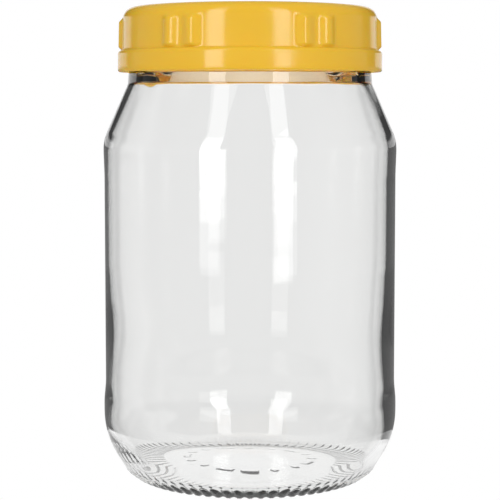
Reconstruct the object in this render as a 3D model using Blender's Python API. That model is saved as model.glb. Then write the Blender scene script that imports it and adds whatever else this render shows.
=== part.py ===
"""Twist-off jar: a clear glass jar, shut and empty, with a moulded plastic lid and its seal disc.

The jar stands on Z = 0 with its axis on +Z. The front is -Y. Every length is in metres.
"""

import math

import bmesh
import bpy
from mathutils import Vector

MM = 0.001
GAP = 0.3 * MM

# Outside of the glass: radius and height of each place that the outline passes
PANEL_RADIUS = 48.45 * MM
PANEL_FOOT, PANEL_HEAD = 31.5 * MM, 101.0 * MM
HEEL_RADIUS, HEEL_HEIGHT = 49.0 * MM, 26.0 * MM
HEEL_UPPER, HEEL_UPPER_ROUND = (48.95 * MM, 14.2 * MM), 27.0 * MM
HEEL_LOWER, HEEL_LOWER_ROUND = (42.25 * MM, 3.6 * MM), 8.0 * MM
SHOULDER_RADIUS, SHOULDER_HEIGHT = 48.7 * MM, 108.4 * MM
SHOULDER_TURN = 112.4 * MM
SHOULDER_ROUND = 14.0 * MM
NECK_RADIUS, NECK_FOOT, NECK_ROUND = 40.55 * MM, 131.0 * MM, 3.0 * MM
NECK_TOP_RADIUS, NECK_TOP = 40.3 * MM, 134.6 * MM
FINISH_RADIUS, FINISH_FOOT = 39.5 * MM, 137.4 * MM
RIM_HEIGHT, RIM_ROUND = 153.35 * MM, 1.0 * MM

# Underside: the ring that the jar stands on and the hollow inside it
BEARING_INNER, BEARING_OUTER = 35.3 * MM, 38.3 * MM
PUSH_UP_EDGE, PUSH_UP_FOOT, PUSH_UP_RISE = 33.0 * MM, 1.0 * MM, 2.5 * MM
PUSH_UP_STEPS = 3
KNURL_COUNT = 70
KNURL_DEPTH = 0.45 * MM
KNURL_MARGIN = 0.62 * MM

# Inside of the glass
MOUTH_RADIUS, MOUTH_ROUND = 36.4 * MM, 0.9 * MM
MOUTH_FOOT, MOUTH_FOOT_ROUND = 134.5 * MM, 1.4 * MM
NECK_BORE, NECK_BORE_HEIGHT, NECK_BORE_ROUND = 38.8 * MM, 130.9 * MM, 2.5 * MM
SHOULDER_BORE, SHOULDER_BORE_HEIGHT, SHOULDER_BORE_ROUND = 46.7 * MM, 111.2 * MM, 11.5 * MM
UPPER_BORE, UPPER_BORE_FOOT, UPPER_BORE_HEAD = 46.45 * MM, 70.0 * MM, 98.0 * MM
LOWER_BORE, LOWER_BORE_HEIGHT = 44.7 * MM, 42.0 * MM
HEEL_BORE, HEEL_BORE_HEIGHT = 45.5 * MM, 22.0 * MM
FLOOR_EDGE, FLOOR_ROUND = (44.9 * MM, 2.3 * MM), 12.5 * MM
FLOOR_DOME_EDGE, FLOOR_DOME_FOOT, FLOOR_CENTRE = 30.0 * MM, 2.95 * MM, 5.6 * MM
FLOOR_STEPS = 3

# Short threads of the twist-off finish and the lugs that slide under them
THREAD_COUNT = 6
THREAD_RADIUS = 40.85 * MM
THREAD_SPAN = 48.0
THREAD_HIGH, THREAD_LOW = 150.6 * MM, 147.6 * MM
THREAD_ROOT, THREAD_CREST = 2.2 * MM, 0.9 * MM
THREAD_SUNK = 1.0 * MM
THREAD_STEPS = 8
THREAD_FADE, THREAD_END = 6.0, 0.25
LUG_RADIUS = 39.85 * MM
LUG_SPAN = 13.0
LUG_FOOT, LUG_HEAD = 144.2 * MM, 145.9 * MM
LUG_SUNK = 0.5 * MM
LUG_STEPS = 3

# Lid
LID_TOP, LID_FOOT = 156.05 * MM, 134.85 * MM
LID_WALL_TOP, LID_WALL_FOOT = 42.0 * MM, 42.3 * MM
LID_ROUND = 3.8 * MM
BAND_RADIUS, BAND_TOP = 43.8 * MM, 141.9 * MM
BAND_ROUND, EDGE_ROUND = 1.3 * MM, 0.4 * MM
LID_WALL, LID_PANEL = 1.1 * MM, 1.4 * MM
LID_BORE, BAND_BORE = LID_WALL_FOOT - LID_WALL, BAND_RADIUS - LID_WALL
BORE_STEP_FOOT, BORE_STEP_HEAD = 138.3 * MM, 139.8 * MM
LID_SEGMENTS = 66

# Grip pads: six pairs, evenly spaced round the lid
PAIR_COUNT = 6
PAIR_TURN, PAD_ANGLE = 29.2, 5.4
PAD_FOOT_WIDTH, PAD_CREST_WIDTH = 6.8 * MM, 1.8 * MM
PAD_FOOT_HEAD, PAD_CREST_HEAD = 152.8 * MM, 151.3 * MM
PAD_CREST = 43.6 * MM
PAD_SUNK = 0.4 * MM
PAD_ROOT = 1.4 * MM
ARCH_STEPS = 5

LINER_RADIUS, LINER_THICKNESS = 39.2 * MM, 0.7 * MM
LINER_SEGMENTS = 48

# Least radius of an arc, and the most that one of its facets turns
FACET_TURNS = ((8.0 * MM, 15.0), (1.4 * MM, 31.0), (0.0, 46.0))


def clear_scene():
    for obj in list(bpy.data.objects):
        bpy.data.objects.remove(obj, do_unlink=True)


def surface(name, colour, roughness, transmission=0.0, ior=1.5):
    """A Principled material with one plain colour."""
    made = bpy.data.materials.new(name)
    made.use_nodes = True
    made.diffuse_color = (*colour, 1.0)
    shader = made.node_tree.nodes["Principled BSDF"]
    shader.inputs["Base Color"].default_value = (*colour, 1.0)
    shader.inputs["Roughness"].default_value = roughness
    shader.inputs["Metallic"].default_value = 0.0
    shader.inputs["Transmission Weight"].default_value = transmission
    shader.inputs["IOR"].default_value = ior
    return made


def polar(angle_deg, radius, height):
    """A point at an angle counted from the front, -Y, towards +X."""
    angle = math.radians(angle_deg)
    return Vector((radius * math.sin(angle), -radius * math.cos(angle), height))


def corner_arc(before, corner, after, radius):
    """The points of an arc that rounds a corner of a flat outline."""
    back, ahead = (before - corner).normalized(), (after - corner).normalized()
    half = back.angle(ahead) / 2
    centre = corner + (back + ahead).normalized() * radius / math.sin(half)
    first = corner + back * radius / math.tan(half) - centre
    turn = math.pi - 2 * half
    if back.x * ahead.y - back.y * ahead.x > 0:
        turn = -turn
    facet = next(most for least, most in FACET_TURNS if radius >= least)
    steps = math.ceil(abs(turn) / math.radians(facet))
    points = []
    for step in range(steps + 1):
        angle = turn * step / steps
        cos, sin = math.cos(angle), math.sin(angle)
        points.append(centre + Vector((first.x * cos - first.y * sin, first.x * sin + first.y * cos)))
    return points


def rounded(corners):
    """An outline through (radius, height, rounding) corners, with an arc at each corner that has one."""
    places = [Vector((r, z)) for r, z, _ in corners]
    outline = [places[0]]
    for index in range(1, len(corners) - 1):
        rounding = corners[index][2]
        if rounding:
            outline += corner_arc(*places[index - 1:index + 2], rounding)
        else:
            outline.append(places[index])
    outline.append(places[-1])
    return outline


def dome(edge_radius, edge_height, centre_height, steps):
    """Corners along a shallow dome, from the axis to its edge."""
    rise = centre_height - edge_height
    return [
        (edge_radius * step / steps, centre_height - rise * (step / steps) ** 2, 0.0)
        for step in range(steps)
    ]


def turned(outline, segments):
    """A bmesh turned about Z from an outline that starts and ends on the axis."""
    bm = bmesh.new()
    points = [bm.verts.new((p.x, 0.0, p.y)) for p in outline]
    edges = [bm.edges.new(pair) for pair in zip(points, points[1:])]
    bmesh.ops.spin(
        bm, geom=points + edges, cent=(0, 0, 0), axis=(0, 0, 1), angle=2 * math.pi,
        steps=segments, use_merge=True, use_duplicate=False,
    )
    bmesh.ops.remove_doubles(bm, verts=bm.verts, dist=0.01 * MM)
    bmesh.ops.recalc_face_normals(bm, faces=bm.faces)
    return bm


def loft(sections):
    """A closed bmesh through sections, each a ring of points of the same number."""
    bm = bmesh.new()
    rings = [[bm.verts.new(point) for point in section] for section in sections]
    for low, high in zip(rings, rings[1:]):
        for index in range(len(low)):
            following = (index + 1) % len(low)
            bm.faces.new((low[index], low[following], high[following], high[index]))
    bm.faces.new(reversed(rings[0]))
    bm.faces.new(rings[-1])
    bmesh.ops.recalc_face_normals(bm, faces=bm.faces)
    return bm


def object_from(name, bm, material=None):
    mesh = bpy.data.meshes.new(name)
    bm.to_mesh(mesh)
    bm.free()
    if material:
        mesh.materials.append(material)
    made = bpy.data.objects.new(name, mesh)
    bpy.context.scene.collection.objects.link(made)
    return made


def fuse(base, pieces):
    """Joins the pieces to the base as one solid, and removes them."""
    group = bpy.data.collections.new(base.name + "_pieces")
    bpy.context.scene.collection.children.link(group)
    for piece in pieces:
        bpy.context.scene.collection.objects.unlink(piece)
        group.objects.link(piece)
    union = base.modifiers.new("union", "BOOLEAN")
    union.operation = "UNION"
    union.operand_type = "COLLECTION"
    union.collection = group
    union.solver = "EXACT"
    graph = bpy.context.evaluated_depsgraph_get()
    joined = bpy.data.meshes.new_from_object(base.evaluated_get(graph))
    base.modifiers.clear()
    base.data = joined
    for piece in pieces:
        bpy.data.objects.remove(piece, do_unlink=True)
    bpy.data.collections.remove(group)


def smooth(piece, angle_deg=32.0):
    piece.data.shade_smooth()
    piece.data.set_sharp_from_angle(angle=math.radians(angle_deg))


def glass_outline():
    """Half of the jar's section: up the outside from the push-up's centre, over the rim and down the inside."""
    ring = KNURL_DEPTH
    underside = dome(PUSH_UP_EDGE, PUSH_UP_FOOT, PUSH_UP_RISE, PUSH_UP_STEPS)
    outside = [
        (PUSH_UP_EDGE, PUSH_UP_FOOT, 0.0),
        (BEARING_INNER, ring, 0.0),
        (BEARING_OUTER, ring, 0.0),
        (*HEEL_LOWER, HEEL_LOWER_ROUND),
        (*HEEL_UPPER, HEEL_UPPER_ROUND),
        (HEEL_RADIUS, HEEL_HEIGHT, 0.0),
        (PANEL_RADIUS, PANEL_FOOT, 0.0),
        (PANEL_RADIUS, PANEL_HEAD, 0.0),
        (SHOULDER_RADIUS, SHOULDER_HEIGHT, 0.0),
        (SHOULDER_RADIUS, SHOULDER_TURN, SHOULDER_ROUND),
        (NECK_RADIUS, NECK_FOOT, NECK_ROUND),
        (NECK_TOP_RADIUS, NECK_TOP, 0.0),
        (FINISH_RADIUS, FINISH_FOOT, 0.0),
        (FINISH_RADIUS, RIM_HEIGHT, RIM_ROUND),
    ]
    inside = [
        (MOUTH_RADIUS, RIM_HEIGHT, MOUTH_ROUND),
        (MOUTH_RADIUS, MOUTH_FOOT, MOUTH_FOOT_ROUND),
        (NECK_BORE, NECK_BORE_HEIGHT, NECK_BORE_ROUND),
        (SHOULDER_BORE, SHOULDER_BORE_HEIGHT, SHOULDER_BORE_ROUND),
        (UPPER_BORE, UPPER_BORE_HEAD, 0.0),
        (UPPER_BORE, UPPER_BORE_FOOT, 0.0),
        (LOWER_BORE, LOWER_BORE_HEIGHT, 0.0),
        (HEEL_BORE, HEEL_BORE_HEIGHT, 0.0),
        (*FLOOR_EDGE, FLOOR_ROUND),
        (FLOOR_DOME_EDGE, FLOOR_DOME_FOOT, 0.0),
        *reversed(dome(FLOOR_DOME_EDGE, FLOOR_DOME_FOOT, FLOOR_CENTRE, FLOOR_STEPS)),
    ]
    return rounded(underside + outside + inside)


def add_knurls(bm):
    """Raises one short radial bar on each facet of the ring that the jar stands on."""
    ring = [face for face in bm.faces if all(abs(v.co.z - KNURL_DEPTH) < 0.01 * MM for v in face.verts)]
    bmesh.ops.inset_individual(
        bm, faces=ring, thickness=KNURL_MARGIN, depth=KNURL_DEPTH, use_even_offset=True
    )


def thread_ridge(number):
    """One short thread: a ridge that falls as it runs round the finish, thinning out at both ends."""
    root, tip = THREAD_ROOT / 2, THREAD_CREST / 2
    foot = FINISH_RADIUS - THREAD_SUNK
    sections = []
    for step in range(THREAD_STEPS + 1):
        along = step / THREAD_STEPS
        angle = 360.0 / THREAD_COUNT * number + THREAD_SPAN * (along - 0.5)
        middle = THREAD_HIGH + (THREAD_LOW - THREAD_HIGH) * along
        full = min(1.0, THREAD_FADE * min(along, 1.0 - along) + THREAD_END)
        crest = FINISH_RADIUS + (THREAD_RADIUS - FINISH_RADIUS) * full
        sections.append([
            polar(angle, foot, middle - root),
            polar(angle, crest, middle - tip),
            polar(angle, crest, middle + tip),
            polar(angle, foot, middle + root),
        ])
    return object_from(f"thread_{number}", loft(sections))


def make_jar():
    glass = surface("clear_glass", (0.96, 0.97, 0.97), 0.02, transmission=1.0, ior=1.52)
    bm = turned(glass_outline(), KNURL_COUNT)
    add_knurls(bm)
    jar = object_from("jar", bm, glass)
    fuse(jar, [thread_ridge(number) for number in range(THREAD_COUNT)])
    smooth(jar)


def lid_outline():
    """Half of the lid's section: from the middle of the top, down the outside and up the inside."""
    underside = LID_TOP - LID_PANEL
    return rounded([
        (0.0, LID_TOP, 0.0),
        (LID_WALL_TOP, LID_TOP, LID_ROUND),
        (LID_WALL_FOOT, BAND_TOP, 0.0),
        (BAND_RADIUS, BAND_TOP, BAND_ROUND),
        (BAND_RADIUS, LID_FOOT, EDGE_ROUND),
        (BAND_BORE, LID_FOOT, 0.0),
        (BAND_BORE, BORE_STEP_FOOT, 0.0),
        (LID_BORE, BORE_STEP_HEAD, 0.0),
        (LID_BORE, underside, LID_ROUND - LID_WALL),
        (0.0, underside, 0.0),
    ])


def pad_section(radius, angle_deg):
    """The arch that a grip pad shows from the front, at one distance from the axis."""
    share = (PAD_CREST - radius) / (PAD_CREST - LID_WALL_FOOT)
    half = (PAD_CREST_WIDTH + (PAD_FOOT_WIDTH - PAD_CREST_WIDTH) * share) / 2
    spring = PAD_CREST_HEAD + (PAD_FOOT_HEAD - PAD_CREST_HEAD) * share - half
    foot = BAND_TOP - PAD_ROOT
    arch = [(-half, foot), (half, foot)]
    for step in range(ARCH_STEPS + 1):
        turn = math.pi * step / ARCH_STEPS
        arch.append((half * math.cos(turn), spring + half * math.sin(turn)))
    return [polar(angle_deg + math.degrees(across / radius), radius, height) for across, height in arch]


def grip_pad(name, angle_deg):
    sunk = LID_WALL_TOP - PAD_SUNK
    return object_from(name, loft([pad_section(sunk, angle_deg), pad_section(PAD_CREST, angle_deg)]))


def inner_lug(number):
    """A short lug inside the skirt, under the low end of one thread."""
    middle = 360.0 / THREAD_COUNT * number + THREAD_SPAN / 2 - LUG_SPAN
    root = LID_BORE + LUG_SUNK
    sections = []
    for step in range(LUG_STEPS + 1):
        angle = middle + LUG_SPAN * (step / LUG_STEPS - 0.5)
        sections.append([
            polar(angle, root, LUG_FOOT - LUG_SUNK),
            polar(angle, LUG_RADIUS, LUG_FOOT),
            polar(angle, LUG_RADIUS, LUG_HEAD),
            polar(angle, root, LUG_HEAD + LUG_SUNK),
        ])
    return object_from(f"lug_{number}", loft(sections))


def make_lid():
    plastic = surface("yellow_plastic", (0.80, 0.50, 0.045), 0.22)
    lid = object_from("lid", turned(lid_outline(), LID_SEGMENTS), plastic)
    pieces = [inner_lug(number) for number in range(THREAD_COUNT)]
    for pair in range(PAIR_COUNT):
        middle = PAIR_TURN + 360.0 / PAIR_COUNT * pair
        pieces += [
            grip_pad(f"pad_{pair}_left", middle - PAD_ANGLE),
            grip_pad(f"pad_{pair}_right", middle + PAD_ANGLE),
        ]
    fuse(lid, pieces)
    smooth(lid)


def make_liner():
    """The seal disc between the rim and the lid."""
    cream = surface("cream_seal", (0.80, 0.70, 0.52), 0.6)
    top = LID_TOP - LID_PANEL - GAP
    foot = top - LINER_THICKNESS
    outline = rounded([
        (0.0, foot, 0.0),
        (LINER_RADIUS, foot, 0.0),
        (LINER_RADIUS, top, 0.0),
        (0.0, top, 0.0),
    ])
    smooth(object_from("liner", turned(outline, LINER_SEGMENTS), cream))


def main():
    clear_scene()
    make_jar()
    make_lid()
    make_liner()


main()
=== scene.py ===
"""Looks of a twist-off jar: clear moulded glass, a glossy yellow plastic lid and its cream seal disc.

The jar stands on Z = 0 with its axis on +Z, and the front is -Y. Lengths are in metres, angles are
in degrees, and an angle round the jar counts from the front towards +X.
"""

from __future__ import annotations

import logging
import math
from dataclasses import dataclass, field
from enum import Enum
from typing import Sequence

import bmesh
import bpy
from mathutils import Matrix, Vector


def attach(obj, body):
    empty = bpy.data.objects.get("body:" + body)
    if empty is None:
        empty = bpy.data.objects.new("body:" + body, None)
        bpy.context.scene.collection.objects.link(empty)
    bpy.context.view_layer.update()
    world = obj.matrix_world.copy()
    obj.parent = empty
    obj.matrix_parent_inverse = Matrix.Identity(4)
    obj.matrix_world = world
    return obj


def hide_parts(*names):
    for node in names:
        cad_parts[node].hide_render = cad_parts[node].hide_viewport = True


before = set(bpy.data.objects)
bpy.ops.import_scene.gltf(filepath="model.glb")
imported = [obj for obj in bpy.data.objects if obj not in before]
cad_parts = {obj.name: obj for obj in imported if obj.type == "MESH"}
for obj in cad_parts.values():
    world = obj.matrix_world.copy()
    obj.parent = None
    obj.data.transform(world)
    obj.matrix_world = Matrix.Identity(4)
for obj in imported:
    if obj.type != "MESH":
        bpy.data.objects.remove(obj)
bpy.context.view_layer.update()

log = logging.getLogger("twist_off_jar")

MM = 0.001
BODY = "root"
ROW_LAYER = "outline_row"
SECTORS = 10
WELD = 0.002 * MM


# Shape helpers


def smoothstep(low: float, high: float, value: float) -> float:
    """A smooth rise from 0 at low to 1 at high.

    Args:
        low: where the rise starts.
        high: where it ends.
        value: the place asked about.

    Returns:
        A share from 0 to 1.
    """
    share = min(1.0, max(0.0, (value - low) / (high - low)))
    return share * share * (3.0 - 2.0 * share)


def turn_of(place: Vector) -> float:
    """The angle of a place round the axis, from the front towards +X, in degrees."""
    return math.degrees(math.atan2(place.x, -place.y))


def nearest_turn(angle: float, pitch: float, offset: float = 0.0) -> float:
    """The angle to the nearest of the places that repeat at a pitch round the axis.

    Args:
        angle: an angle in degrees.
        pitch: the angle between two repeated places.
        offset: the angle of one of them.

    Returns:
        A signed angle, at most half a pitch.
    """
    return (angle - offset + pitch / 2.0) % pitch - pitch / 2.0


@dataclass(frozen=True)
class Corner:
    """A corner of a turned outline.

    Attributes:
        radius: distance from the axis.
        height: height above the ground.
        rounding: radius of the arc that rounds the corner, or 0.
        steps: facets of that arc.
        rows: parts that the straight stretch before the corner is cut into.
    """

    radius: float
    height: float
    rounding: float = 0.0
    steps: int = 6
    rows: int = 1

    @property
    def place(self) -> Vector:
        """The corner as a flat vector of radius and height."""
        return Vector((self.radius, self.height))


def corner_arc(before: Vector, corner: Corner, after: Vector) -> list[Vector]:
    """The points of the arc that rounds a corner.

    Args:
        before: the corner before it.
        corner: the corner to round.
        after: the corner after it.

    Returns:
        Points of radius and height along the arc.
    """
    back = (before - corner.place).normalized()
    ahead = (after - corner.place).normalized()
    half = back.angle(ahead) / 2.0
    centre = corner.place + (back + ahead).normalized() * corner.rounding / math.sin(half)
    first = corner.place + back * corner.rounding / math.tan(half) - centre
    turn = math.pi - 2.0 * half
    if back.x * ahead.y - back.y * ahead.x > 0.0:
        turn = -turn
    points = []
    for step in range(corner.steps + 1):
        angle = turn * step / corner.steps
        cos, sin = math.cos(angle), math.sin(angle)
        points.append(centre + Vector((first.x * cos - first.y * sin, first.x * sin + first.y * cos)))
    return points


def outline_points(corners: Sequence[Corner]) -> list[Vector]:
    """An outline through corners, with arcs and with its straight stretches cut into rows.

    Args:
        corners: the corners in order.

    Returns:
        Points of radius and height.
    """
    points = [corners[0].place]
    for index, corner in enumerate(corners[1:], start=1):
        if corner.rounding and index < len(corners) - 1:
            added = corner_arc(corners[index - 1].place, corner, corners[index + 1].place)
        else:
            added = [corner.place]
        start = points[-1]
        for row in range(1, corner.rows):
            points.append(start.lerp(added[0], row / corner.rows))
        points += added
    return points


def turned(outline: Sequence[Vector], segments: int) -> bmesh.types.BMesh:
    """A closed mesh turned about Z from an outline that starts and ends on the axis.

    One sector is turned, and copies of it close the circle. Each vertex keeps the number of its
    outline point in a layer, so that relief can be moved out row by row.

    Args:
        outline: points of radius and height.
        segments: facets round the axis, a multiple of the sectors.

    Returns:
        The turned mesh, with its normals outwards.
    """
    bm = bmesh.new()
    layer = bm.verts.layers.int.new(ROW_LAYER)
    points = []
    for row, point in enumerate(outline):
        vert = bm.verts.new((0.0, -point.x, point.y))
        vert[layer] = row
        points.append(vert)
    edges = [bm.edges.new(pair) for pair in zip(points, points[1:])]
    bmesh.ops.spin(
        bm, geom=points + edges, cent=(0, 0, 0), axis=(0, 0, 1), angle=2.0 * math.pi / SECTORS,
        steps=segments // SECTORS, use_merge=False, use_duplicate=False,
    )
    first = bm.verts[:] + bm.edges[:] + bm.faces[:]
    for sector in range(1, SECTORS):
        copied = bmesh.ops.duplicate(bm, geom=first)["geom"]
        bmesh.ops.rotate(
            bm, verts=[item for item in copied if isinstance(item, bmesh.types.BMVert)],
            cent=(0, 0, 0), matrix=Matrix.Rotation(2.0 * math.pi * sector / SECTORS, 3, "Z"),
        )
    bmesh.ops.remove_doubles(bm, verts=bm.verts, dist=WELD)
    bmesh.ops.recalc_face_normals(bm, faces=bm.faces)
    return bm


def move_out(place: Vector, distance: float) -> Vector:
    """A place moved straight away from the axis.

    Args:
        place: the place to move.
        distance: how far, or below 0 towards the axis.

    Returns:
        The place moved.
    """
    flat = Vector((place.x, place.y, 0.0))
    return place + flat.normalized() * distance if flat.length > 0.0 else place.copy()


def piece_from(name: str, bm: bmesh.types.BMesh, material: bpy.types.Material) -> bpy.types.Object:
    """A finished, smoothly shaded piece at the origin.

    Args:
        name: the piece's name.
        bm: its mesh, which is freed.
        material: its finish.

    Returns:
        The new object.
    """
    mesh = bpy.data.meshes.new(name)
    bm.to_mesh(mesh)
    bm.free()
    mesh.materials.append(material)
    mesh.shade_smooth()
    made = bpy.data.objects.new(name, mesh)
    bpy.context.scene.collection.objects.link(made)
    return made


def put_on(piece: bpy.types.Object, node: str) -> None:
    """Makes a piece stand for a node of the model and ride on its body.

    Args:
        piece: the finished piece.
        node: the node that it replaces.
    """
    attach(piece, BODY)
    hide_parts(node)
    log.info("%s: %d faces, stands for %s", piece.name, len(piece.data.polygons), node)


# Shader helpers


class NodeBench:
    """Places and joins the nodes of one node tree."""

    def __init__(self, tree: bpy.types.NodeTree) -> None:
        """Starts on a tree.

        Args:
            tree: the node tree to add to.
        """
        self.tree = tree

    def add(
        self, kind: str, inputs: dict[str | int, object] | None = None, **settings: object
    ) -> bpy.types.Node:
        """Adds a node, sets it up and feeds its inputs.

        Args:
            kind: the node's type name.
            inputs: values or output sockets by input name or number.
            **settings: the node's own settings.

        Returns:
            The new node.
        """
        node = self.tree.nodes.new(kind)
        for name, value in settings.items():
            setattr(node, name, value)
        for key, value in (inputs or {}).items():
            socket = node.inputs[key]
            if isinstance(value, bpy.types.NodeSocket):
                self.join(value, socket)
            else:
                socket.default_value = value
        return node

    def math(self, operation: str, *values: object, clamp: bool = False) -> bpy.types.NodeSocket:
        """The result of a Math node.

        Args:
            operation: the node's operation.
            *values: its inputs, as numbers or sockets.
            clamp: whether the result stays within 0 and 1.

        Returns:
            Its output socket.
        """
        node = self.add("ShaderNodeMath", dict(enumerate(values)), operation=operation, use_clamp=clamp)
        return node.outputs[0]

    def join(self, start: bpy.types.NodeSocket, end: bpy.types.NodeSocket) -> None:
        """Links an output socket to an input socket."""
        self.tree.links.new(start, end)

    def blend(
        self, share: bpy.types.NodeSocket, start: object, end: object
    ) -> bpy.types.NodeSocket:
        """A blend of two colours.

        Args:
            share: 0 for the first colour and 1 for the second.
            start: the first colour, as a value or a socket.
            end: the second.

        Returns:
            A socket with the colour.
        """
        mix = self.add("ShaderNodeMix", {"Factor": share, "A": start, "B": end}, data_type="RGBA")
        return mix.outputs["Result"]

    def noise(
        self, place: bpy.types.NodeSocket, scale: object, detail: float, rough: float = 0.5,
        distort: float = 0.0,
    ) -> bpy.types.NodeSocket:
        """The value of a noise.

        Args:
            place: the coordinates.
            scale: waves per metre, as a number or a socket.
            detail: octaves.
            rough: strength of the finer octaves.
            distort: how far the pattern is pulled about.

        Returns:
            Its output socket, from 0 to 1.
        """
        node = self.add("ShaderNodeTexNoise", {
            "Vector": place, "Scale": scale, "Detail": detail, "Roughness": rough, "Distortion": distort,
        })
        return node.outputs["Fac"]


def object_place(bench: NodeBench) -> bpy.types.NodeSocket:
    """The Object coordinates of the piece."""
    return bench.add("ShaderNodeTexCoord").outputs["Object"]


def shader_group(name: str, inputs: dict[str, float], outputs: Sequence[str]) -> bpy.types.NodeTree:
    """An empty shader group with a Place input and number sockets.

    Args:
        name: the group's name.
        inputs: the default of each number input.
        outputs: the names of its number outputs.

    Returns:
        The group's tree.
    """
    tree = bpy.data.node_groups.new(name, "ShaderNodeTree")
    tree.interface.new_socket("Place", in_out="INPUT", socket_type="NodeSocketVector")
    for key, default in inputs.items():
        socket = tree.interface.new_socket(key, in_out="INPUT", socket_type="NodeSocketFloat")
        socket.default_value = default
    for key in outputs:
        tree.interface.new_socket(key, in_out="OUTPUT", socket_type="NodeSocketFloat")
    return tree


class SharedEffects:
    """The shader groups that more than one finish uses, each built once."""

    def __init__(self) -> None:
        """Builds the groups."""
        self.unevenness = self.make_unevenness()
        self.handling = self.make_handling()

    def make_unevenness(self) -> bpy.types.NodeTree:
        """Builds the unevenness of a moulded surface: slow waves with a finer ripple on them.

        Returns:
            A group with a Height output in metres.
        """
        tree = shader_group(
            "moulded_unevenness",
            {"Wave Scale": 30.0, "Wave Height": 0.00002, "Ripple Scale": 300.0, "Ripple Height": 0.000002},
            ["Height"],
        )
        bench = NodeBench(tree)
        given = bench.add("NodeGroupInput").outputs
        wave = bench.noise(given["Place"], given["Wave Scale"], 1.5)
        ripple = bench.noise(given["Place"], given["Ripple Scale"], 2.0)
        waves = bench.math("MULTIPLY", wave, given["Wave Height"])
        height = bench.math("MULTIPLY_ADD", ripple, given["Ripple Height"], waves)
        bench.add("NodeGroupOutput", {"Height": height})
        return tree

    def make_handling(self) -> bpy.types.NodeTree:
        """Builds faint handling marks: soft smears and a scatter of fine rubs.

        Returns:
            A group with a Mask output from 0 to 1.
        """
        tree = shader_group("handling_marks", {"Smear Scale": 25.0, "Rub Scale": 900.0}, ["Mask"])
        bench = NodeBench(tree)
        given = bench.add("NodeGroupInput").outputs
        smear = bench.noise(given["Place"], given["Smear Scale"], 4.0, 0.62, 0.8)
        rub = bench.noise(given["Place"], given["Rub Scale"], 2.0)
        soft = bench.add("ShaderNodeMapRange", {"Value": smear, "From Min": 0.45, "From Max": 0.75})
        fine = bench.add("ShaderNodeMapRange", {"Value": rub, "From Min": 0.55, "From Max": 0.8})
        both = bench.math("MULTIPLY_ADD", fine.outputs[0], 0.35, soft.outputs[0], clamp=True)
        bench.add("NodeGroupOutput", {"Mask": both})
        return tree


def grey(level: float) -> tuple[float, float, float, float]:
    """A grey of one level, or white at 1."""
    return level, level, level, 1.0


def opaque(colour: Sequence[float]) -> tuple[float, float, float, float]:
    """A colour of three parts with a full fourth."""
    red, green, blue = colour
    return red, green, blue, 1.0


@dataclass(frozen=True)
class Unevenness:
    """How uneven a moulded surface is.

    Attributes:
        wave_scale: slow waves per metre.
        wave_height: their height.
        ripple_scale: fine ripples per metre.
        ripple_height: their height.
        strength: how strongly both tilt the light.
    """

    wave_scale: float
    wave_height: float
    ripple_scale: float
    ripple_height: float
    strength: float

    def put_on(
        self, bench: NodeBench, shader: bpy.types.Node, place: bpy.types.NodeSocket, effects: SharedEffects
    ) -> None:
        """Feeds the surface's normal.

        Args:
            bench: the material's nodes.
            shader: its Principled node.
            place: the coordinates.
            effects: the shared groups.
        """
        group = bench.add("ShaderNodeGroup", {
            "Place": place,
            "Wave Scale": self.wave_scale, "Wave Height": self.wave_height,
            "Ripple Scale": self.ripple_scale, "Ripple Height": self.ripple_height,
        }, node_tree=effects.unevenness)
        bump = bench.add("ShaderNodeBump", {
            "Height": group.outputs["Height"], "Strength": self.strength, "Distance": 1.0,
        })
        bench.join(bump.outputs["Normal"], shader.inputs["Normal"])


def new_material(name: str) -> tuple[bpy.types.Material, NodeBench, bpy.types.Node]:
    """An empty material with its Principled shader.

    Args:
        name: the material's name.

    Returns:
        The material, its bench and its Principled node.
    """
    made = bpy.data.materials.new(name)
    made.use_nodes = True
    return made, NodeBench(made.node_tree), made.node_tree.nodes["Principled BSDF"]


@dataclass(frozen=True)
class ClearGlass:
    """Clear flint glass, fire-polished, with the slow waves of a blown and moulded wall."""

    tint: tuple[float, float, float] = (0.985, 0.986, 0.983)
    body_tint: tuple[float, float, float] = (0.90, 0.91, 0.90)
    body_density: float = 14.0
    shadow_tint: tuple[float, float, float] = (0.9, 0.9, 0.9)
    ior: float = 1.52
    smear_roughness: float = 0.03
    unevenness: Unevenness = Unevenness(34.0, 0.05 * MM, 160.0, 0.0012 * MM, 0.6)

    def material(self, effects: SharedEffects) -> bpy.types.Material:
        """Builds the material.

        Args:
            effects: the shared groups.

        Returns:
            The glass.
        """
        made, bench, shader = new_material("clear_glass")
        place = object_place(bench)
        shader.inputs["Base Color"].default_value = opaque(self.tint)
        shader.inputs["Metallic"].default_value = 0.0
        shader.inputs["IOR"].default_value = self.ior
        shader.inputs["Transmission Weight"].default_value = 1.0
        handling = bench.add("ShaderNodeGroup", {"Place": place}, node_tree=effects.handling)
        rough = bench.math("MULTIPLY", handling.outputs["Mask"], self.smear_roughness)
        bench.join(rough, shader.inputs["Roughness"])
        self.unevenness.put_on(bench, shader, place, effects)
        shadow = bench.add("ShaderNodeBsdfTransparent", {"Color": opaque(self.shadow_tint)})
        path = bench.add("ShaderNodeLightPath")
        mix = bench.add("ShaderNodeMixShader", {
            0: path.outputs["Is Shadow Ray"], 1: shader.outputs["BSDF"], 2: shadow.outputs["BSDF"],
        })
        absorb = bench.add("ShaderNodeVolumeAbsorption", {
            "Color": opaque(self.body_tint), "Density": self.body_density,
        })
        output = made.node_tree.nodes["Material Output"]
        bench.join(mix.outputs[0], output.inputs["Surface"])
        bench.join(absorb.outputs[0], output.inputs["Volume"])
        return made


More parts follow.
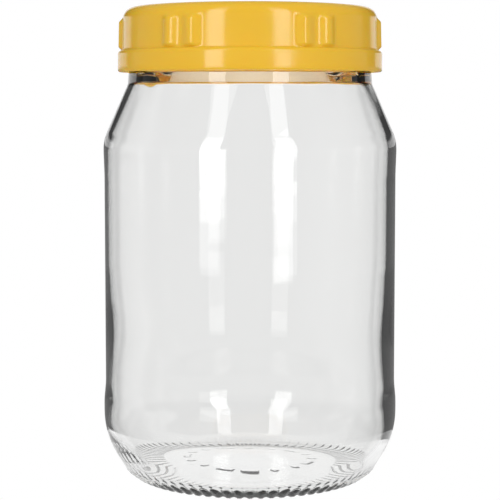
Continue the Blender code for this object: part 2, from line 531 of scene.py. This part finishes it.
@dataclass(frozen=True)
class GlossyPlastic:
    """Glossy injection-moulded golden yellow plastic."""

    colour: tuple[float, float, float] = (0.80, 0.50, 0.035)
    deep_colour: tuple[float, float, float] = (0.76, 0.46, 0.028)
    flow_scale: float = 18.0
    roughness: float = 0.1
    rubbed_roughness: float = 0.24
    ior: float = 1.5
    subsurface: float = 0.4
    subsurface_radius: tuple[float, float, float] = (1.0, 0.5, 0.1)
    subsurface_scale: float = 2.0 * MM
    unevenness: Unevenness = Unevenness(70.0, 0.012 * MM, 1400.0, 0.0007 * MM, 0.5)

    def material(self, effects: SharedEffects) -> bpy.types.Material:
        """Builds the material.

        Args:
            effects: the shared groups.

        Returns:
            The plastic.
        """
        made, bench, shader = new_material("yellow_plastic")
        place = object_place(bench)
        flow = bench.noise(place, self.flow_scale, 3.0, 0.5, 1.2)
        colour = bench.blend(flow, opaque(self.deep_colour), opaque(self.colour))
        handling = bench.add("ShaderNodeGroup", {"Place": place}, node_tree=effects.handling)
        rough = bench.add("ShaderNodeMapRange", {
            "Value": handling.outputs["Mask"], "To Min": self.roughness, "To Max": self.rubbed_roughness,
        })
        bench.join(colour, shader.inputs["Base Color"])
        bench.join(rough.outputs[0], shader.inputs["Roughness"])
        self.unevenness.put_on(bench, shader, place, effects)
        shader.inputs["Metallic"].default_value = 0.0
        shader.inputs["IOR"].default_value = self.ior
        shader.inputs["Subsurface Weight"].default_value = self.subsurface
        shader.inputs["Subsurface Radius"].default_value = self.subsurface_radius
        shader.inputs["Subsurface Scale"].default_value = self.subsurface_scale
        return made


@dataclass(frozen=True)
class SealCompound:
    """Matt cream sealing compound, slightly pitted."""

    colour: tuple[float, float, float] = (0.72, 0.58, 0.40)
    pale_colour: tuple[float, float, float] = (0.79, 0.66, 0.48)
    cloud_scale: float = 60.0
    roughness: float = 0.5
    rubbed_roughness: float = 0.7
    unevenness: Unevenness = Unevenness(90.0, 0.03 * MM, 1200.0, 0.006 * MM, 0.5)

    def material(self, effects: SharedEffects) -> bpy.types.Material:
        """Builds the material.

        Args:
            effects: the shared groups.

        Returns:
            The seal's finish.
        """
        made, bench, shader = new_material("cream_seal")
        place = object_place(bench)
        cloud = bench.noise(place, self.cloud_scale, 4.0)
        colour = bench.blend(cloud, opaque(self.colour), opaque(self.pale_colour))
        handling = bench.add("ShaderNodeGroup", {"Place": place}, node_tree=effects.handling)
        rough = bench.add("ShaderNodeMapRange", {
            "Value": handling.outputs["Mask"], "To Min": self.roughness, "To Max": self.rubbed_roughness,
        })
        bench.join(colour, shader.inputs["Base Color"])
        bench.join(rough.outputs[0], shader.inputs["Roughness"])
        self.unevenness.put_on(bench, shader, place, effects)
        return made


# The glass


class BaseMark(Enum):
    """The plain marks moulded under the base."""

    DOT = "dot"
    BAR = "bar"


@dataclass
class GlassJar:
    """The clear jar: turned walls, knurled standing ring, plain base marks and a short-thread finish."""

    segments: int = 490

    # Outside
    heel_lower: tuple[float, float] = (42.25 * MM, 3.6 * MM)
    heel_upper: tuple[float, float] = (48.95 * MM, 14.2 * MM)
    heel_ring: tuple[float, float] = (49.0 * MM, 26.0 * MM)
    panel_radius: float = 48.45 * MM
    panel_span: tuple[float, float] = (31.5 * MM, 101.0 * MM)
    shoulder_radius: float = 48.7 * MM
    shoulder_span: tuple[float, float] = (108.4 * MM, 112.4 * MM)
    neck: tuple[float, float] = (40.55 * MM, 131.0 * MM)
    neck_top: tuple[float, float] = (40.3 * MM, 134.6 * MM)
    finish_radius: float = 39.5 * MM
    finish_foot: float = 137.4 * MM
    rim_height: float = 153.35 * MM

    # Underside
    push_up: tuple[float, float] = (29.3 * MM, 1.2 * MM)
    push_up_rise: float = 2.5 * MM
    ring_inner: float = 34.0 * MM
    ring_outer: float = 38.3 * MM

    # Short radial bars of the standing ring, with the radii over which they end outside
    knurl_count: int = 70
    knurl_depth: float = 0.45 * MM
    knurl_sides: tuple[float, float] = (0.25, 0.8)
    knurl_end: tuple[float, float] = (40.9 * MM, 42.9 * MM)
    knurl_out: float = 0.8
    knurl_drop_loss: float = 0.2

    # Inside, as turned
    mouth_radius: float = 36.4 * MM
    mouth_foot: float = 134.5 * MM
    neck_bore: tuple[float, float] = (38.85 * MM, 130.9 * MM)
    shoulder_bore: tuple[float, float] = (46.7 * MM, 111.2 * MM)
    upper_bore: float = 46.45 * MM
    upper_bore_span: tuple[float, float] = (70.0 * MM, 98.0 * MM)
    middle_bore: tuple[float, float] = (46.1 * MM, 59.0 * MM)
    lower_bore: tuple[float, float] = (45.1 * MM, 42.0 * MM)
    heel_bore: tuple[float, float] = (45.9 * MM, 27.0 * MM)
    floor_turn: tuple[float, float] = (46.0 * MM, 15.2 * MM)
    floor_edge: tuple[float, float] = (38.8 * MM, 3.8 * MM)
    floor_dome: tuple[float, float] = (31.0 * MM, 3.9 * MM)
    floor_centre: float = 5.7 * MM
    dome_radii: tuple[float, ...] = (24.0 * MM, 18.0 * MM, 12.0 * MM, 6.0 * MM)

    # Unevenly spread glass inside: the bore's shift, low thick back, front humps and wavy neck
    bore_shift: tuple[float, float] = (-0.62 * MM, 0.0)
    shift_foot: tuple[float, float] = (6.0 * MM, 20.0 * MM)
    shift_head: tuple[float, float] = (100.0 * MM, 130.0 * MM)
    back_thickening: float = 1.7 * MM
    back_foot: tuple[float, float] = (4.0 * MM, 12.0 * MM)
    back_head: tuple[float, float] = (22.0 * MM, 50.0 * MM)
    back_turns: tuple[float, float] = (120.0, 158.0)
    hump: float = 0.19 * MM
    hump_heights: tuple[float, float] = (55.0 * MM, 67.0 * MM)
    hump_half: float = 5.0 * MM
    hump_gap: tuple[float, float] = (2.0, 9.0)
    hump_turns: tuple[float, float] = (35.0, 75.0)
    neck_wave: float = 0.12 * MM
    neck_wave_half: float = 2.0 * MM

    # Short threads
    thread_count: int = 6
    thread_height: float = 1.35 * MM
    thread_span: float = 48.0
    thread_heights: tuple[float, float] = (150.6 * MM, 147.6 * MM)
    thread_half_width: float = 1.15 * MM
    thread_fade: float = 0.14

    # Marks under the base
    mark_radius: float = 21.0 * MM
    mark_relief: float = 0.16 * MM
    mark_count: int = 16
    mark_half: float = 1.5 * MM
    bar_half: tuple[float, float] = (2.6 * MM, 0.75 * MM)
    bar_edge: float = 0.45 * MM
    bar_every: int = 3
    mark_band: float = 2.3 * MM
    mark_rows: int = 10

    finish: ClearGlass = field(default_factory=ClearGlass)

    def underside(self) -> list[Corner]:
        """The corners of the push-up, from the axis to its edge."""
        edge, foot = self.push_up
        radii = [0.0, 6.0 * MM, 12.0 * MM]
        radii += [
            self.mark_radius + self.mark_band * (2.0 * row / self.mark_rows - 1.0)
            for row in range(self.mark_rows + 1)
        ]
        radii += [26.8 * MM]
        rise = self.push_up_rise - foot
        return [Corner(radius, self.push_up_rise - rise * (radius / edge) ** 2) for radius in radii]

    def outside(self) -> list[Corner]:
        """The corners up the outside, from the push-up's edge over the rim's outer side."""
        level = self.knurl_depth
        return [
            Corner(*self.push_up, 4.0 * MM, 3),
            Corner(self.ring_inner, level, 1.2 * MM, 4, 3),
            Corner(self.ring_outer, level, 4.0 * MM, 5, 5),
            Corner(*self.heel_lower, 8.0 * MM, 10, 4),
            Corner(*self.heel_upper, 27.0 * MM, 10, 2),
            Corner(*self.heel_ring, 30.0 * MM, 3),
            Corner(self.panel_radius, self.panel_span[0], 30.0 * MM, 3),
            Corner(self.panel_radius, self.panel_span[1], 40.0 * MM, 3, 3),
            Corner(self.shoulder_radius, self.shoulder_span[0], 30.0 * MM, 3),
            Corner(self.shoulder_radius, self.shoulder_span[1], 14.0 * MM, 9),
            Corner(*self.neck, 3.0 * MM, 5, 2),
            Corner(*self.neck_top, 3.0 * MM, 3),
            Corner(self.finish_radius, self.finish_foot, 3.0 * MM, 3),
            Corner(self.finish_radius, self.thread_heights[1] - 2.0 * MM, rows=2),
            Corner(self.finish_radius, self.thread_heights[0] + 1.6 * MM, rows=13),
            Corner(self.finish_radius, self.rim_height, 1.0 * MM, 4),
        ]

    def inside(self) -> list[Corner]:
        """The corners down the inside, from the rim to the middle of the floor."""
        return [
            Corner(self.mouth_radius, self.rim_height, 0.9 * MM, 4),
            Corner(self.mouth_radius, self.mouth_foot, 1.2 * MM, 5, 2),
            Corner(*self.neck_bore, 2.5 * MM, 4),
            Corner(*self.shoulder_bore, 11.5 * MM, 8, 2),
            Corner(self.upper_bore, self.upper_bore_span[1], 60.0 * MM, 2),
            Corner(self.upper_bore, self.upper_bore_span[0], 90.0 * MM, 3, 2),
            Corner(*self.middle_bore, 200.0 * MM, 3),
            Corner(*self.lower_bore, 150.0 * MM, 5),
            Corner(*self.heel_bore, 120.0 * MM, 3),
            Corner(*self.floor_turn, 18.0 * MM, 7, 2),
            Corner(*self.floor_edge, 4.5 * MM, 7, 2),
            Corner(*self.floor_dome, 30.0 * MM, 3),
            *(Corner(radius, self.dome_height(radius)) for radius in self.dome_radii),
            Corner(0.0, self.floor_centre),
        ]

    def dome_height(self, radius: float) -> float:
        """The height of the floor's dome at a distance from the axis."""
        edge, foot = self.floor_dome
        return self.floor_centre - (self.floor_centre - foot) * (radius / edge) ** 2

    def thick_back(self, place: Vector, angle: float) -> float:
        """How much thicker the glass is low at the back.

        Args:
            place: a vertex of the bore.
            angle: its angle from the front.

        Returns:
            The added thickness.
        """
        low = (1.0 - smoothstep(*self.back_head, place.z)) * smoothstep(*self.back_foot, place.z)
        return self.back_thickening * low * smoothstep(*self.back_turns, abs(angle))

    def front_hump(self, place: Vector, angle: float) -> float:
        """How much thinner the glass is at the two soft humps in front.

        Args:
            place: a vertex of the bore.
            angle: its angle from the front.

        Returns:
            The thickness taken away.
        """
        middle = self.hump_heights[0 if angle < 0.0 else 1]
        rise = math.exp(-(((place.z - middle) / self.hump_half) ** 2))
        side = (1.0 - smoothstep(*self.hump_turns, abs(angle))) * smoothstep(*self.hump_gap, abs(angle))
        return self.hump * rise * side

    def wavy_neck(self, place: Vector, angle: float) -> float:
        """How far the edge under the neck waves out.

        Args:
            place: a vertex of the bore.
            angle: its angle from the front.

        Returns:
            The distance outwards, or below 0 inwards.
        """
        turn = math.radians(angle)
        near = math.exp(-(((place.z - self.neck_bore[1]) / self.neck_wave_half) ** 2))
        return self.neck_wave * near * (math.sin(9.0 * turn + 1.0) + 0.7 * math.sin(17.0 * turn + 2.0))

    def uneven_bore(self, place: Vector) -> Vector:
        """The place of a vertex of the bore, as the glass spread unevenly.

        Args:
            place: the vertex as turned.

        Returns:
            Its moved place.
        """
        angle = turn_of(place)
        out = self.front_hump(place, angle) + self.wavy_neck(place, angle) - self.thick_back(place, angle)
        share = smoothstep(*self.shift_foot, place.z) * (1.0 - smoothstep(*self.shift_head, place.z))
        return move_out(place, out) + Vector((*self.bore_shift, 0.0)) * share

    def knurl(self, place: Vector, radius: float) -> float:
        """How far the short bars of the standing ring stand out.

        Args:
            place: a vertex of the ring or the heel above it.
            radius: its distance from the axis.

        Returns:
            The share of the full relief, from 0 to 1.
        """
        pitch = 360.0 / self.knurl_count
        off_middle = abs(nearest_turn(turn_of(place), pitch)) / (pitch / 2.0)
        across = 1.0 - smoothstep(*self.knurl_sides, off_middle)
        inner = smoothstep(self.push_up[0], self.ring_inner - 1.0 * MM, radius)
        outer = 1.0 - smoothstep(*self.knurl_end, radius)
        return across * inner * outer

    def knurled(self, place: Vector, radius: float) -> Vector:
        """The place of a vertex of the ring, moved by the bars: down, and outwards up the heel.

        Args:
            place: the vertex as turned.
            radius: its distance from the axis.

        Returns:
            Its moved place.
        """
        relief = self.knurl(place, radius) * self.knurl_depth
        lean = smoothstep(self.ring_outer, self.heel_lower[0], radius)
        down = relief * (1.0 - self.knurl_drop_loss * lean)
        return move_out(place, self.knurl_out * relief * lean) - Vector((0.0, 0.0, down))

    def thread(self, place: Vector) -> float:
        """How far the short threads stand out of the finish.

        Args:
            place: a vertex of the finish.

        Returns:
            The share of the full thread, from 0 to 1.
        """
        pitch = 360.0 / self.thread_count
        along = nearest_turn(turn_of(place), pitch) / self.thread_span + 0.5
        if not 0.0 < along < 1.0:
            return 0.0
        high, low = self.thread_heights
        off_middle = abs(place.z - (high + (low - high) * along)) / self.thread_half_width
        ends = smoothstep(0.0, self.thread_fade, min(along, 1.0 - along))
        return ends * (1.0 - smoothstep(0.25, 1.0, off_middle))

    def mark(self, place: Vector, radius: float) -> float:
        """How far the plain marks stand out under the base.

        Args:
            place: a vertex of the push-up.
            radius: its distance from the axis.

        Returns:
            The share of the full relief, from 0 to 1.
        """
        pitch = 360.0 / self.mark_count
        angle = turn_of(place)
        number = round(angle / pitch) % self.mark_count
        across = math.radians(nearest_turn(angle, pitch)) * radius
        along = radius - self.mark_radius
        kind = BaseMark.BAR if number % self.bar_every == 0 else BaseMark.DOT
        if kind is BaseMark.BAR:
            half_length, half_width = self.bar_half
            outside = math.hypot(max(0.0, abs(across) - half_length), max(0.0, abs(along) - half_width))
            return 1.0 - smoothstep(0.0, self.bar_edge, outside)
        return 1.0 - smoothstep(self.mark_half * 0.6, self.mark_half, math.hypot(across, along))

    def build(self, effects: SharedEffects) -> bpy.types.Object:
        """Builds the jar and dresses it.

        Args:
            effects: the shared shader groups.

        Returns:
            The finished jar.
        """
        under, outer, inner = self.underside(), self.outside(), self.inside()
        outline = outline_points(under + outer + inner)
        rim_row = len(outline_points(under + outer + inner[:1]))
        bm = turned(outline, self.segments)
        layer = bm.verts.layers.int[ROW_LAYER]
        for vert in bm.verts:
            place = vert.co
            radius = math.hypot(place.x, place.y)
            if vert[layer] >= rim_row:
                vert.co = self.uneven_bore(place)
            elif place.z > self.finish_foot:
                vert.co = move_out(place, self.thread_height * self.thread(place))
            elif radius > self.push_up[0] and place.z < self.heel_lower[1] + 1.5 * MM:
                vert.co = self.knurled(place, radius)
            elif abs(radius - self.mark_radius) < self.mark_band and place.z < self.push_up_rise:
                vert.co.z -= self.mark_relief * self.mark(place, radius)
        piece = piece_from("glass_jar", bm, self.finish.material(effects))
        put_on(piece, "jar")
        log.info("glass_jar: %d outline rows", len(outline))
        return piece


# The lid


@dataclass
class TwistLid:
    """The plastic lid: a rounded top, twelve grip pads, a skirt band and lugs inside."""

    segments: int = 960
    top: float = 156.05 * MM
    foot: float = 134.85 * MM
    wall_top: float = 42.0 * MM
    wall_foot: float = 42.3 * MM
    rounding: float = 3.8 * MM
    band_radius: float = 43.8 * MM
    band_top: float = 141.9 * MM
    band_round: float = 1.3 * MM
    edge_round: float = 0.7 * MM
    wall: float = 1.1 * MM
    panel: float = 1.4 * MM
    bore_step: tuple[float, float] = (138.3 * MM, 139.8 * MM)

    # Grip pads
    pair_count: int = 6
    pair_turn: float = 29.2
    pad_angle: float = 5.4
    pad_half: float = 4.0 * MM
    pad_height: float = 1.32 * MM
    pad_head: tuple[float, float] = (150.9 * MM, 153.0 * MM)
    pad_foot: tuple[float, float] = (141.5 * MM, 143.3 * MM)

    # Lugs
    lug_count: int = 6
    lug_radius: float = 39.85 * MM
    lug_span: float = 13.0
    lug_turn: float = 11.0
    lug_heights: tuple[float, float] = (144.2 * MM, 145.9 * MM)
    lug_fade: float = 0.5 * MM

    # Gate mark in the middle of the top
    gate_radius: float = 2.2 * MM
    gate_depth: float = 0.25 * MM

    finish: GlossyPlastic = field(default_factory=GlossyPlastic)

    def outside(self) -> list[Corner]:
        """The corners from the middle of the top down to the skirt's inner edge."""
        wall_head = self.pad_head[1]
        share = (wall_head - self.band_top) / (self.top - self.band_top)
        head_radius = self.wall_foot + (self.wall_top - self.wall_foot) * share
        return [
            Corner(0.0, self.top - self.gate_depth),
            Corner(self.gate_radius * 0.8, self.top - self.gate_depth, rows=2),
            Corner(self.gate_radius, self.top, rows=2),
            Corner(self.wall_top, self.top, self.rounding, 12, 6),
            Corner(head_radius, wall_head - 1.0 * MM),
            Corner(self.wall_foot, self.band_top + 0.1 * MM, 0.35 * MM, 3, 32),
            Corner(self.band_radius, self.band_top, self.band_round, 8),
            Corner(self.band_radius, self.foot, self.edge_round, 5, 4),
            Corner(self.band_radius - self.wall, self.foot, 0.25 * MM, 3),
        ]

    def inside(self) -> list[Corner]:
        """The corners from the foot of the bore up to the middle of the ceiling."""
        bore = self.wall_foot - self.wall
        ceiling = self.top - self.panel
        return [
            Corner(self.band_radius - self.wall, self.bore_step[0], 0.4 * MM, 2),
            Corner(bore, self.bore_step[1], 0.4 * MM, 2),
            Corner(bore, self.lug_heights[0] - 0.6 * MM),
            Corner(bore, self.lug_heights[1] + 0.6 * MM, rows=7),
            Corner(bore, ceiling, self.rounding - self.wall, 6),
            Corner(0.0, ceiling, rows=2),
        ]

    def pad_turns(self) -> list[float]:
        """The angles of the twelve grip pads, in evenly spaced pairs."""
        pitch = 360.0 / self.pair_count
        return [
            self.pair_turn + pitch * pair + side * self.pad_angle
            for pair in range(self.pair_count) for side in (-1, 1)
        ]

    def pad(self, place: Vector, turns: Sequence[float]) -> float:
        """How far the grip pads stand out of the wall.

        Args:
            place: a vertex of the outer wall.
            turns: the angles of the pads.

        Returns:
            The height of the pad there.
        """
        angle = turn_of(place)
        off = min(abs(nearest_turn(angle, 360.0, turn)) for turn in turns)
        across = math.radians(off) * self.wall_foot
        if across >= self.pad_half:
            return 0.0
        side = 0.5 + 0.5 * math.cos(math.pi * across / self.pad_half)
        up = smoothstep(*self.pad_foot, place.z) * (1.0 - smoothstep(*self.pad_head, place.z))
        return self.pad_height * side * up

    def lug(self, place: Vector) -> float:
        """How far the lugs stand in from the bore.

        Args:
            place: a vertex of the bore.

        Returns:
            The height of the lug there.
        """
        off = abs(nearest_turn(turn_of(place), 360.0 / self.lug_count, self.lug_turn))
        off /= self.lug_span / 2.0
        low, high = self.lug_heights
        up = smoothstep(low - self.lug_fade, low, place.z)
        up *= 1.0 - smoothstep(high, high + self.lug_fade, place.z)
        full = self.wall_foot - self.wall - self.lug_radius
        return full * up * (1.0 - smoothstep(0.86, 1.0, off))

    def build(self, effects: SharedEffects) -> bpy.types.Object:
        """Builds the lid and dresses it.

        Args:
            effects: the shared shader groups.

        Returns:
            The finished lid.
        """
        outer, inner = self.outside(), self.inside()
        outline = outline_points(outer + inner)
        foot_row = len(outline_points(outer))
        bm = turned(outline, self.segments)
        layer = bm.verts.layers.int[ROW_LAYER]
        turns = self.pad_turns()
        for vert in bm.verts:
            place = vert.co
            if vert[layer] >= foot_row:
                vert.co = move_out(place, -self.lug(place))
            elif self.pad_foot[0] < place.z < self.pad_head[1]:
                radius = math.hypot(place.x, place.y)
                wanted = self.wall_foot + self.pad(place, turns)
                if wanted > radius and wanted > self.wall_foot:
                    vert.co = move_out(place, wanted - max(radius, self.wall_foot))
        piece = piece_from("twist_lid", bm, self.finish.material(effects))
        put_on(piece, "lid")
        log.info("twist_lid: %d outline rows", len(outline))
        return piece


@dataclass
class SealDisc:
    """The seal between the rim and the lid, with the groove that the rim has pressed into it."""

    segments: int = 260
    radius: float = 39.2 * MM
    foot: float = 153.65 * MM
    thickness: float = 0.7 * MM
    groove_middle: float = 38.3 * MM
    groove_half: float = 0.8 * MM
    groove_depth: float = 0.12 * MM
    finish: SealCompound = field(default_factory=SealCompound)

    def build(self, effects: SharedEffects) -> bpy.types.Object:
        """Builds the seal and dresses it.

        Args:
            effects: the shared shader groups.

        Returns:
            The finished seal.
        """
        top = self.foot + self.thickness
        groove = self.foot + self.groove_depth
        bm = turned(outline_points([
            Corner(0.0, self.foot),
            Corner(self.groove_middle - self.groove_half, self.foot, 0.5 * MM, 3, 8),
            Corner(self.groove_middle, groove, 0.5 * MM, 3),
            Corner(self.groove_middle + self.groove_half, self.foot),
            Corner(self.radius, self.foot, 0.05 * MM, 2),
            Corner(self.radius, top, 0.15 * MM, 3),
            Corner(0.0, top, rows=6),
        ]), self.segments)
        piece = piece_from("seal_disc", bm, self.finish.material(effects))
        put_on(piece, "liner")
        return piece


# The studio


@dataclass(frozen=True)
class Glow:
    """A stretch of the surroundings, by the angle from straight behind the jar towards +X."""

    start: float
    end: float
    level: float


@dataclass(frozen=True)
class StripLight:
    """A tall strip softbox in front of the jar."""

    name: str
    turn: float
    width: float
    low: float
    high: float
    level: float


@dataclass
class Studio:
    """A white light table in a bright-field set: white behind, dark at the sides, strips in front.

    The set's brightness depends on the way a ray leaves: low below the horizon, middle just above
    it, high over that and then the ceiling. What is seen through the glass and what is mirrored have
    their own low fields and ceilings, and the outer edge of a single wall has one dark level.
    """

    # Table, glowing, with a painted shadow under the jar
    floor_radius: float = 0.085
    floor_drop: float = 0.15 * MM
    # Glow by distance from the axis: darker under the jar, most under the standing ring, as a painted
    # contact shadow.
    floor_levels_with_painted_shadow: tuple[tuple[float, float], ...] = (
        (0.0, 0.93), (0.03, 0.9), (0.036, 0.82), (0.043, 0.82), (0.05, 0.9), (0.06, 0.94), (0.085, 0.94),
    )

    # Camera
    camera_place: tuple[float, float, float] = (0.0, -0.5328, 0.12575)
    camera_tilt: float = 4.5
    lens: float = 114.79
    sensor: float = 36.0
    shift_y: float = -0.0496

    # Surroundings: fields by angle, the sines of elevation where they change, and plain levels
    edge_blur: float = 1.5
    low_glows: tuple[Glow, ...] = (
        Glow(-180.0, -38.0, 0.86), Glow(-38.0, -26.0, 0.2), Glow(-26.0, -5.0, 0.94),
        Glow(-5.0, 4.0, 0.885), Glow(4.0, 27.0, 0.915), Glow(27.0, 39.0, 0.2), Glow(39.0, 180.0, 0.86),
    )
    low_mirror_glows: tuple[Glow, ...] = (
        Glow(-180.0, -60.0, 0.3), Glow(-60.0, 60.0, 0.27), Glow(60.0, 180.0, 0.3),
    )
    middle_glows: tuple[Glow, ...] = (
        Glow(-180.0, -60.0, 0.5), Glow(-60.0, -46.0, 0.2), Glow(-46.0, 42.0, 0.95),
        Glow(42.0, 60.0, 0.1), Glow(60.0, 180.0, 0.5),
    )
    high_glows: tuple[Glow, ...] = (
        Glow(-180.0, -60.0, 0.3), Glow(-60.0, -17.0, 0.05), Glow(-17.0, 17.0, 0.95),
        Glow(17.0, 60.0, 0.05), Glow(60.0, 180.0, 0.3),
    )
    horizon: tuple[float, float] = (-0.004, 0.006)
    high_rise: tuple[float, float] = (0.08, 0.12)
    mirrored_ceiling_rise: tuple[float, float] = (0.35, 0.6)
    ceiling_rise: tuple[float, float] = (0.7, 0.85)
    wall_edge_level: float = 0.05
    mirrored_ceiling_level: float = 0.3
    ceiling_level: float = 0.75
    fill_level: float = 0.66
    inner_fill_level: float = 2.0

    # Strip lights
    strip_distance: float = 1.1
    strips: tuple[StripLight, ...] = (
        StripLight("strip_left", -30.0, 0.30, 0.028, 0.9, 4.3),
        StripLight("strip_left_top", -30.0, 0.30, 0.9, 1.7, 1.8),
        StripLight("strip_left_knee", -30.0, 0.30, 0.004, 0.028, 2.5),
        StripLight("strip_left_foot", -30.0, 0.30, -0.045, 0.004, 1.2),
        StripLight("strip_right", 28.0, 0.29, 0.028, 0.9, 4.3),
        StripLight("strip_right_top", 28.0, 0.29, 0.9, 1.7, 1.8),
        StripLight("strip_right_knee", 28.0, 0.29, 0.004, 0.028, 2.5),
        StripLight("strip_right_foot", 28.0, 0.29, -0.045, 0.004, 1.2),
    )

    def floor(self) -> bpy.types.Object:
        """Builds the lit white table that the jar stands on, with a painted shadow under the standing
        ring.

        Returns:
            The floor.
        """
        bm = bmesh.new()
        bmesh.ops.create_circle(bm, cap_ends=True, segments=128, radius=self.floor_radius)
        bmesh.ops.translate(bm, verts=bm.verts, vec=(0.0, 0.0, -self.floor_drop))
        made = bpy.data.materials.new("white_table")
        made.use_nodes = True
        bench = NodeBench(made.node_tree)
        distance = bench.add("ShaderNodeVectorMath", {0: object_place(bench)}, operation="LENGTH")
        share = bench.math("DIVIDE", distance.outputs["Value"], self.floor_radius)
        ramp = bench.add("ShaderNodeValToRGB", {"Fac": share})
        ramp.color_ramp.interpolation = "EASE"
        # The ramp dims the glow under the jar's standing ring: a painted contact shadow.
        self.fill_ramp(ramp, [(place / self.floor_radius, level) for place, level in self.floor_levels_with_painted_shadow])
        path = bench.add("ShaderNodeLightPath").outputs
        enclosed = bench.math("MULTIPLY", path["Diffuse Depth"], path["Transmission Depth"], clamp=True)
        seen = bench.blend(enclosed, ramp.outputs["Color"], grey(self.inner_fill_level))
        seen = bench.blend(path["Is Camera Ray"], seen, grey(1.0))
        glow = bench.add("ShaderNodeEmission", {"Color": seen, "Strength": 1.0})
        bench.join(glow.outputs[0], made.node_tree.nodes["Material Output"].inputs["Surface"])
        floor = piece_from("floor", bm, made)
        return floor

    def ramp(
        self, bench: NodeBench, share: bpy.types.NodeSocket, glows: Sequence[Glow]
    ) -> bpy.types.NodeSocket:
        """The level of the surroundings in a direction.

        Args:
            bench: the world's nodes.
            share: the direction, from 0 at -180 degrees to 1 at 180.
            glows: the stretches in order.

        Returns:
            A socket with the level.
        """
        ramp = bench.add("ShaderNodeValToRGB", {"Fac": share})
        half_blur = self.edge_blur / 2.0
        self.fill_ramp(ramp, [
            (end / 360.0 + 0.5, glow.level)
            for glow in glows for end in (glow.start + half_blur, glow.end - half_blur)
        ])
        return ramp.outputs["Color"]

    def fill_ramp(self, ramp: bpy.types.Node, levels: Sequence[tuple[float, float]]) -> None:
        """Sets the stops of a colour ramp to levels of white.

        Args:
            ramp: the ramp's node.
            levels: the place and the level of each stop, in order.
        """
        stops = ramp.color_ramp.elements
        while len(stops) > 1:
            stops.remove(stops[0])
        for number, (place, level) in enumerate(levels):
            stop = stops.new(place) if number else stops[0]
            stop.position = place
            stop.color = grey(level)

    def surroundings(self) -> None:
        """Sets up the world: plain white to the camera, the set's bright and dark fields to the glass."""
        world = bpy.data.worlds.new("studio")
        bpy.context.scene.world = world
        world.use_nodes = True
        bench = NodeBench(world.node_tree)
        bench.tree.nodes.clear()
        path = bench.add("ShaderNodeLightPath").outputs
        way = bench.add("ShaderNodeTexCoord").outputs["Generated"]
        parts = bench.add("ShaderNodeSeparateXYZ", {0: way}).outputs
        angle = bench.math("ARCTAN2", parts["X"], parts["Y"])
        share = bench.math("MULTIPLY_ADD", angle, 0.5 / math.pi, 0.5)
        low, low_mirror, middle, high = (
            self.ramp(bench, share, glows)
            for glows in (self.low_glows, self.low_mirror_glows, self.middle_glows, self.high_glows)
        )
        at_horizon, at_high, at_mirrored_ceiling, at_ceiling = (
            bench.add(
                "ShaderNodeMapRange", {"Value": parts["Z"], "From Min": start, "From Max": end}
            ).outputs[0]
            for start, end in (self.horizon, self.high_rise, self.mirrored_ceiling_rise, self.ceiling_rise)
        )
        through = bench.blend(at_high, low, high)
        through = bench.blend(at_ceiling, through, grey(self.ceiling_level))
        one_wall = bench.math("LESS_THAN", path["Transmission Depth"], 2.5)
        through = bench.blend(one_wall, through, grey(self.wall_edge_level))
        mirrored = bench.blend(at_horizon, low_mirror, middle)
        mirrored = bench.blend(at_high, mirrored, high)
        mirrored = bench.blend(at_mirrored_ceiling, mirrored, grey(self.mirrored_ceiling_level))
        seen = bench.blend(path["Is Transmission Ray"], mirrored, through)
        scattered = bench.math("GREATER_THAN", path["Diffuse Depth"], 0.5)
        seen = bench.blend(scattered, seen, grey(self.fill_level))
        behind_glass = bench.math("GREATER_THAN", path["Transmission Depth"], 0.5)
        enclosed = bench.math("MULTIPLY", scattered, behind_glass)
        seen = bench.blend(enclosed, seen, grey(self.inner_fill_level))
        seen = bench.blend(path["Is Camera Ray"], seen, grey(1.0))
        back = bench.add("ShaderNodeBackground", {"Color": seen, "Strength": 1.0})
        bench.add("ShaderNodeOutputWorld", {"Surface": back.outputs[0]})

    def strip(self, plan: StripLight) -> bpy.types.Object:
        """Places one strip softbox, facing the jar.

        Args:
            plan: its place and brightness.

        Returns:
            The light.
        """
        height = plan.high - plan.low
        data = bpy.data.lights.new(plan.name, "AREA")
        data.shape = "RECTANGLE"
        data.size, data.size_y = plan.width, height
        data.energy = plan.level * math.pi * plan.width * height
        light = bpy.data.objects.new(plan.name, data)
        bpy.context.scene.collection.objects.link(light)
        turn = math.radians(plan.turn)
        light.location = (
            self.strip_distance * math.sin(turn), -self.strip_distance * math.cos(turn),
            (plan.low + plan.high) / 2.0,
        )
        light.rotation_euler = (math.radians(90.0), 0.0, turn)
        light.visible_camera = False
        return light

    def camera(self) -> bpy.types.Object:
        """Places the camera at the photograph's viewing angle.

        Returns:
            The camera.
        """
        data = bpy.data.cameras.new("camera")
        data.lens, data.sensor_width, data.shift_y = self.lens, self.sensor, self.shift_y
        data.clip_start, data.clip_end = 0.01, 20.0
        camera = bpy.data.objects.new("camera", data)
        camera.location = self.camera_place
        camera.rotation_euler = (math.radians(90.0 - self.camera_tilt), 0.0, 0.0)
        bpy.context.scene.collection.objects.link(camera)
        bpy.context.scene.camera = camera
        return camera

    def build(self) -> None:
        """Builds the floor, the surroundings, the lights and the camera."""
        self.camera()
        self.floor()
        self.surroundings()
        for plan in self.strips:
            self.strip(plan)
        scene = bpy.context.scene
        scene.view_settings.view_transform = "Standard"
        scene.view_settings.look = "None"
        scene.cycles.max_bounces = 24
        scene.cycles.transmission_bounces = 20
        scene.cycles.glossy_bounces = 8
        scene.cycles.transparent_max_bounces = 12


def main() -> None:
    """Builds the studio and the dressed jar."""
    logging.basicConfig(level=logging.INFO, format="%(name)s: %(message)s")
    Studio().build()
    effects = SharedEffects()
    for part in (GlassJar(), TwistLid(), SealDisc()):
        part.build(effects)


if __name__ == "__main__":
    main()
